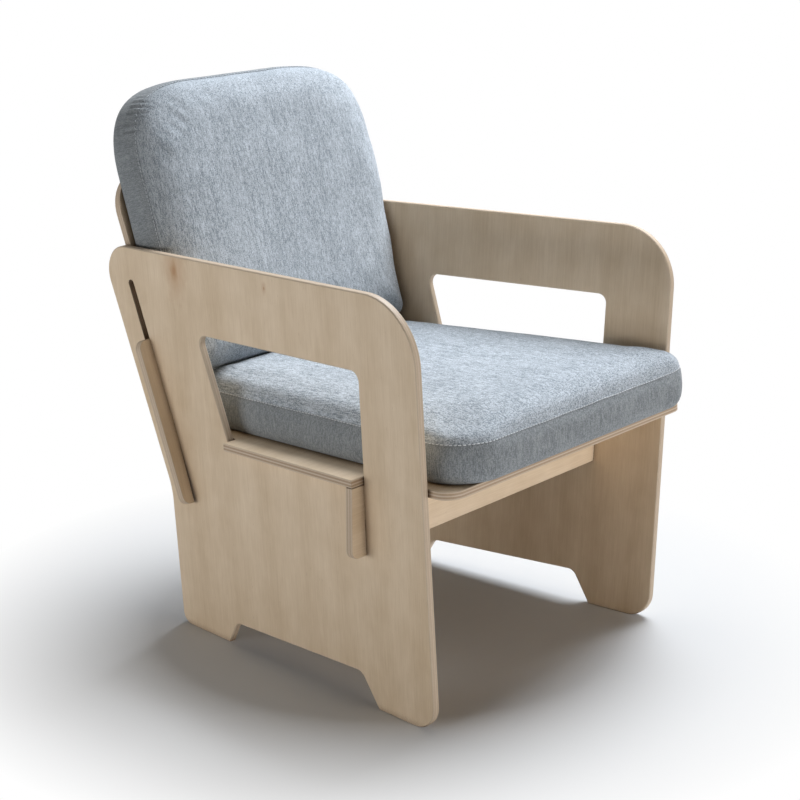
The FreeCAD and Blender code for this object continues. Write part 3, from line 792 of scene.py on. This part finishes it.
def panel_inner_x(y, z):
    """Inner face of the +X side panel."""
    slope = math.tan(PANEL_LEAN) / math.cos(TOE_IN)
    thickness = BOARD / (math.cos(TOE_IN) * math.cos(PANEL_LEAN))
    return PANEL_AT_ORIGIN - math.tan(TOE_IN) * y + slope * z - thickness


def seat_corners():
    """Seat cushion's outline: against the +X panel, a little askew, and off the other panel."""
    front, rear = -384 * MM / math.cos(SEAT_SLOPE), 214.6 * MM

    def beside(q, gap):
        """Half the width between the panels at a place on the seat board, less a gap."""
        z = SEAT_BASE_Z + 24 * MM - q * math.sin(SEAT_SLOPE)
        return panel_inner_x(q * math.cos(SEAT_SLOPE), z) - gap

    return [(-beside(front, 17.6 * MM), front), (beside(front, 0.5 * MM), front),
            (beside(rear, 0.5 * MM), rear), (-beside(rear, 25 * MM), rear)]


def back_corners():
    """Back cushion's outline on the back board, wider at the top than at the foot."""
    low, high = 431.6 * MM, 893.3 * MM
    return [(-253 * MM, low), (250.5 * MM, low), (271 * MM, high), (-254 * MM, high)]


def counts_for(corners):
    """Stations of each side; facing sides get the same number."""
    spacing = bpy.context.scene.cushions.spacing
    wide = (Vector(corners[1]) - Vector(corners[0])).length
    deep = (Vector(corners[2]) - Vector(corners[1])).length
    n, m = round(wide / spacing), round(deep / spacing)
    return [n, m, n, m]


def sink_zip(data, rings, outward, is_wall):
    """Sinks the strip of the wall that the zip's tape lies in."""
    for index in ZIP_RINGS:
        for k, number in enumerate(rings[index]):
            vert = data.vertices[number]
            if is_wall(vert.co) and abs(vert.co.x) < STRIP_HALF_LENGTH * MM:
                vert.co -= outward[k] * STRIP_DEPTH * MM


def ease(share):
    """Smooth step of a share that is held between 0 and 1."""
    share = min(max(share, 0.0), 1.0)
    return share * share * (3 - 2 * share)


def seat_shape(data, rings, outward):
    """Seat cushion's zip strip, its swell in front of the +X panel, and its flatter near corner."""
    sink_zip(data, rings, outward, lambda p: p.y > 190 * MM)
    seam = data.vertices[rings[SEAM][0]].co.z
    for vert in data.vertices:
        past_panel = ease((-327 * MM - vert.co.y) / (16 * MM))
        inward = ease((vert.co.x - 200 * MM) / (90 * MM))
        belly = 8.5 + 8.5 * math.exp(-((vert.co.z - 61 * MM) / (17 * MM)) ** 2)
        vert.co.x += belly * MM * past_panel * inward * ease(vert.co.z / (34 * MM))
        if vert.co.z > seam:
            away = math.hypot(vert.co.x + 255 * MM, vert.co.y + 372 * MM)
            vert.co.z -= 0.4 * (vert.co.z - seam) * ease(1.25 - away / (105 * MM))


def gather(data, rings, outward, centre, reach, depth):
    """Sewn-in fullness at a corner: creases 11 mm apart across the boxing, deepest 19 mm below the seam."""
    seam = data.vertices[rings[SEAM][0]].co.z
    for ring in rings[WIDEST + 2:]:
        for k, number in enumerate(ring):
            vert = data.vertices[number]
            along = data.vertices[rings[SEAM][k]].co
            near = ease(1.2 - (Vector((along.x, along.y)) - Vector(centre)).length / reach)
            across = math.exp(-((vert.co.z - seam + 19 * MM) / (27 * MM)) ** 2)
            uneven = 0.8 + 0.9 * noise.noise(Vector((along.x, along.y, 0.03)) * 60.0)
            fold = 0.5 if k % 2 else -0.5
            vert.co -= outward[k] * depth * near * across * uneven * fold


def back_shape(data, rings, outward):
    """Back cushion's zip strip, its swell above and beside the +X arm, and its top corners' gathers."""
    sink_zip(data, rings, outward, lambda p: p.y < 440 * MM)
    for vert in data.vertices:
        x, w, z = vert.co
        above_arm = ease((w - 610 * MM) / (60 * MM)) * ease(z / (20 * MM))
        beside_arm = ease((w - 520 * MM) / (60 * MM)) * ease((760 * MM - w) / (60 * MM))
        swell = 5.5 * above_arm + 4.0 * beside_arm * ease((z - 35 * MM) / (25 * MM))
        vert.co.x += swell * MM * ease((x - 140 * MM) / (90 * MM))
    gather(data, rings, outward, (-230 * MM, 851 * MM), 46 * MM, 14.0 * MM)
    gather(data, rings, outward, (245 * MM, 815 * MM), 60 * MM, 3.0 * MM)


# Operators

# Knots of the side panels: places across and along the grain, and radii
FAR_PANEL_KNOTS = ((0.1, 0.2, 0.004),)
NEAR_PANEL_KNOTS = ((0.1845, 0.605, 0.0095), (-0.024, 0.613, 0.002), (-0.19, 0.513, 0.003))

# Lamps, named as their power settings: place, target, width and height, and colour
LAMPS = (
    ("key", (1.6, 0.12, 2.65), (0, 0, 0.4), (1.7, 1.7), "#F6FAFF"),
    ("top", (0.6, 0.2, 3.0), (0, 0, 0.4), (2.0, 2.0), "#F6FAFF"),
    ("front", (0.1, -2.6, 0.28), (0.1, 0, 0.3), (1.6, 0.4), "#FFFAF6"),
    ("side", (-2.75, 0.85, 0.5), (0, 0, 0.36), (1.9, 0.6), "#FFFDFB"),
)


class CHAIR_OT_boards(bpy.types.Operator):
    """Dress the side panels, rail, seat board and back board in birch plywood"""
    bl_idname = "chair.boards"
    bl_label = "Boards"

    def execute(self, context):
        def finish(node, directions, middle, **grain):
            """Plywood for one board: directions across and along its grain, and through it."""
            dress(node, birch_plywood(node + "_birch_plywood", directions, middle, **grain))

        for side, name, knots in ((1, "left", FAR_PANEL_KNOTS), (-1, "right", NEAR_PANEL_KNOTS)):
            axes = panel_axes(side)
            middle = Vector((side * PANEL_AT_ORIGIN, 0, 0)) - axes[2] * (BOARD / 2)
            finish("side_panel_" + name, axes, middle, knots=knots, seed=0.37 + side, banding=0.35)
        x, y, z = Vector((1, 0, 0)), Vector((0, 1, 0)), Vector((0, 0, 1))
        finish("front_rail", (z, x, y), RAIL_MIDDLE, seed=2.3, banding=0.6)
        across, q, up = seat_axes()
        seat_middle = Vector((0, 0, SEAT_BASE_Z)) + up * (BOARD / 2)
        finish("seat_board", (q, across, up), seat_middle, seed=3.1)
        across, w, front = back_axes()
        back_middle = Vector((0, BACK_FOOT_Y, 0)) - front * (BOARD / 2)
        finish("back_board", (across, w, front), back_middle, seed=4.7, banding=0.4)
        return {"FINISHED"}


class CHAIR_OT_seat_cushion(bpy.types.Operator):
    """Make the seat cushion's cover and seam"""
    bl_idname = "chair.seat_cushion"
    bl_label = "Seat cushion"

    def execute(self, context):
        corners = seat_corners()
        radii = [65 * MM, 50 * MM, 30 * MM, 30 * MM]
        outline = Outline(corners, radii, [2, 2, 2, 2], counts_for(corners))
        levels = cushion_levels(seam=58, bulge=6, base=9, top=31, roll=0.74)
        directions = seat_axes()
        origin = Vector((0, 0, SEAT_BASE_Z)) + directions[2] * (BOARD + SOFT_GAP)
        cushion = Cushion("seat_cushion", outline, levels, 8 * MM, directions, origin)
        make_cushion(cushion, seat_shape, cap=3 * MM, seed=0.4, coarse=1.35, proud=1.5 * MM,
                     thread_colour=context.scene.fabric.thread)
        return {"FINISHED"}


class CHAIR_OT_back_cushion(bpy.types.Operator):
    """Make the back cushion's cover and seam"""
    bl_idname = "chair.back_cushion"
    bl_label = "Back cushion"

    def execute(self, context):
        corners = back_corners()
        radii = [28 * MM, 28 * MM, 150 * MM, 155 * MM]
        outline = Outline(corners, radii, [2, 2, 3, 3], counts_for(corners))
        levels = cushion_levels(seam=58, bulge=4, base=9, top=32, roll=0.88)
        directions = back_axes()
        origin = Vector((0, BACK_FOOT_Y, 0)) + directions[2] * SOFT_GAP
        cushion = Cushion("back_cushion", outline, levels, 7 * MM, directions, origin)
        make_cushion(cushion, back_shape, cap=3 * MM, seed=1.9, coarse=1.0, proud=1.3 * MM,
                     thread_colour=context.scene.fabric.back_thread, shade=0.85)
        return {"FINISHED"}


class CHAIR_OT_zips(bpy.types.Operator):
    """Finish the zips' tapes and sliders"""
    bl_idname = "chair.zips"
    bl_label = "Zips"

    def execute(self, context):
        colours = context.scene.fabric
        tape = fine_grained("zip_woven_tape", tuple(colours.tape), 0.8)
        slider = fine_grained("zip_nickel_plated_slider", tuple(colours.slider), 0.35, metallic=1.0)
        for prefix in ("seat", "back"):
            dress(prefix + "_cushion_zip", tape)
            dress(prefix + "_zip_slider", slider)
        return {"FINISHED"}


def area_lamp(name, place, target, size, power, colour):
    """Soft lamp that faces a point."""
    lamp = bpy.data.lights.new(name, "AREA")
    lamp.shape = "RECTANGLE"
    lamp.size, lamp.size_y = size
    lamp.energy = power
    lamp.color = srgb(colour)[:3]
    holder = bpy.data.objects.new(name, lamp)
    holder.location = place
    holder.rotation_euler = (Vector(target) - Vector(place)).to_track_quat("-Z", "Y").to_euler()
    bpy.context.scene.collection.objects.link(holder)


def floor_material(colour):
    """Matt painted floor that runs out into a white backdrop away from the chair."""
    material, tree, shader = new_material("matt_white_painted_floor")
    place = add_node(tree, "ShaderNodeTexCoord").outputs["Object"]
    speck = noise_at(tree, place, 300.0)
    darker = tuple(c * 0.985 for c in colour[:3]) + (1.0,)
    tree.links.new(mix_colour(tree, speck, darker, colour), shader.inputs["Base Color"])
    shader.inputs["Roughness"].default_value = 0.7
    shader.inputs["Specular IOR Level"].default_value = 0.2
    reach = vector_maths(tree, "LENGTH", place)
    far = maths(tree, "MULTIPLY", remap(tree, reach, 0.38, 0.76), background_rays(tree))
    white = add_node(tree, "ShaderNodeEmission", None, Color=(1, 1, 1, 1), Strength=1.0)
    mixed = add_node(tree, "ShaderNodeMixShader", None, i0=far, i1=shader.outputs[0], i2=white.outputs[0])
    output = next(n for n in tree.nodes if n.type == "OUTPUT_MATERIAL")
    tree.links.new(mixed.outputs[0], output.inputs[0])
    return material


def white_world(strength):
    """World that looks white and lights the chair gently from all around."""
    world = bpy.data.worlds.new("Studio")
    world.use_nodes = True
    tree = world.node_tree
    tree.nodes.clear()
    level = mix_value(tree, background_rays(tree), strength, 1.0)
    back = add_node(tree, "ShaderNodeBackground", None, Color=(1, 1, 1, 1), Strength=level)
    output = add_node(tree, "ShaderNodeOutputWorld")
    tree.links.new(back.outputs[0], output.inputs[0])
    bpy.context.scene.world = world


class CHAIR_OT_stage(bpy.types.Operator):
    """Set up the floor, lamps and camera"""
    bl_idname = "chair.stage"
    bl_label = "Stage"

    def execute(self, context):
        scene = context.scene
        stage = scene.stage
        mesh = bmesh.new()
        bmesh.ops.create_circle(mesh, cap_ends=True, segments=96, radius=40.0)
        data = bpy.data.meshes.new("floor_mesh")
        mesh.to_mesh(data)
        mesh.free()
        data.materials.append(floor_material(tuple(stage.floor)))
        floor = bpy.data.objects.new("floor", data)
        scene.collection.objects.link(floor)
        for name, place, target, size, colour in LAMPS:
            area_lamp(name, place, target, size, getattr(stage, name), colour)
        white_world(stage.around)
        camera = bpy.data.objects.new("camera", bpy.data.cameras.new("camera"))
        camera.data.lens = stage.lens
        camera.data.sensor_width = 36
        camera.data.clip_end = 100
        camera.location = stage.place
        camera.rotation_euler = Vector(stage.view).to_track_quat("-Z", "Y").to_euler()
        scene.collection.objects.link(camera)
        scene.camera = camera
        scene.view_settings.view_transform = "Standard"
        return {"FINISHED"}


class CHAIR_PT_panel(bpy.types.Panel):
    """Chair's pieces and settings"""
    bl_idname = "CHAIR_PT_panel"
    bl_label = "Accent chair"
    bl_space_type = "VIEW_3D"
    bl_region_type = "UI"
    bl_category = "Chair"

    def draw(self, context):
        for operator in OPERATORS:
            self.layout.operator(operator.bl_idname)
        for name, kind in SETTINGS.items():
            box = self.layout.box()
            box.label(text=kind.__doc__)
            for prop in kind.__annotations__:
                box.prop(getattr(context.scene, name), prop)


SETTINGS = {
    "timber": TimberSettings,
    "fabric": FabricSettings,
    "cushions": CushionSettings,
    "stage": StageSettings,
}
OPERATORS = (
    CHAIR_OT_boards, CHAIR_OT_seat_cushion, CHAIR_OT_back_cushion, CHAIR_OT_zips, CHAIR_OT_stage,
)
CLASSES = (*SETTINGS.values(), *OPERATORS, CHAIR_PT_panel)


def register():
    for kind in CLASSES:
        bpy.utils.register_class(kind)
    for name, kind in SETTINGS.items():
        setattr(bpy.types.Scene, name, PointerProperty(type=kind))


def unregister():
    for name in SETTINGS:
        delattr(bpy.types.Scene, name)
    for kind in reversed(CLASSES):
        bpy.utils.unregister_class(kind)


def main():
    register()
    bpy.ops.chair.boards()
    bpy.ops.chair.seat_cushion()
    bpy.ops.chair.back_cushion()
    bpy.ops.chair.zips()
    bpy.ops.chair.stage()


if __name__ == "__main__":
    main()
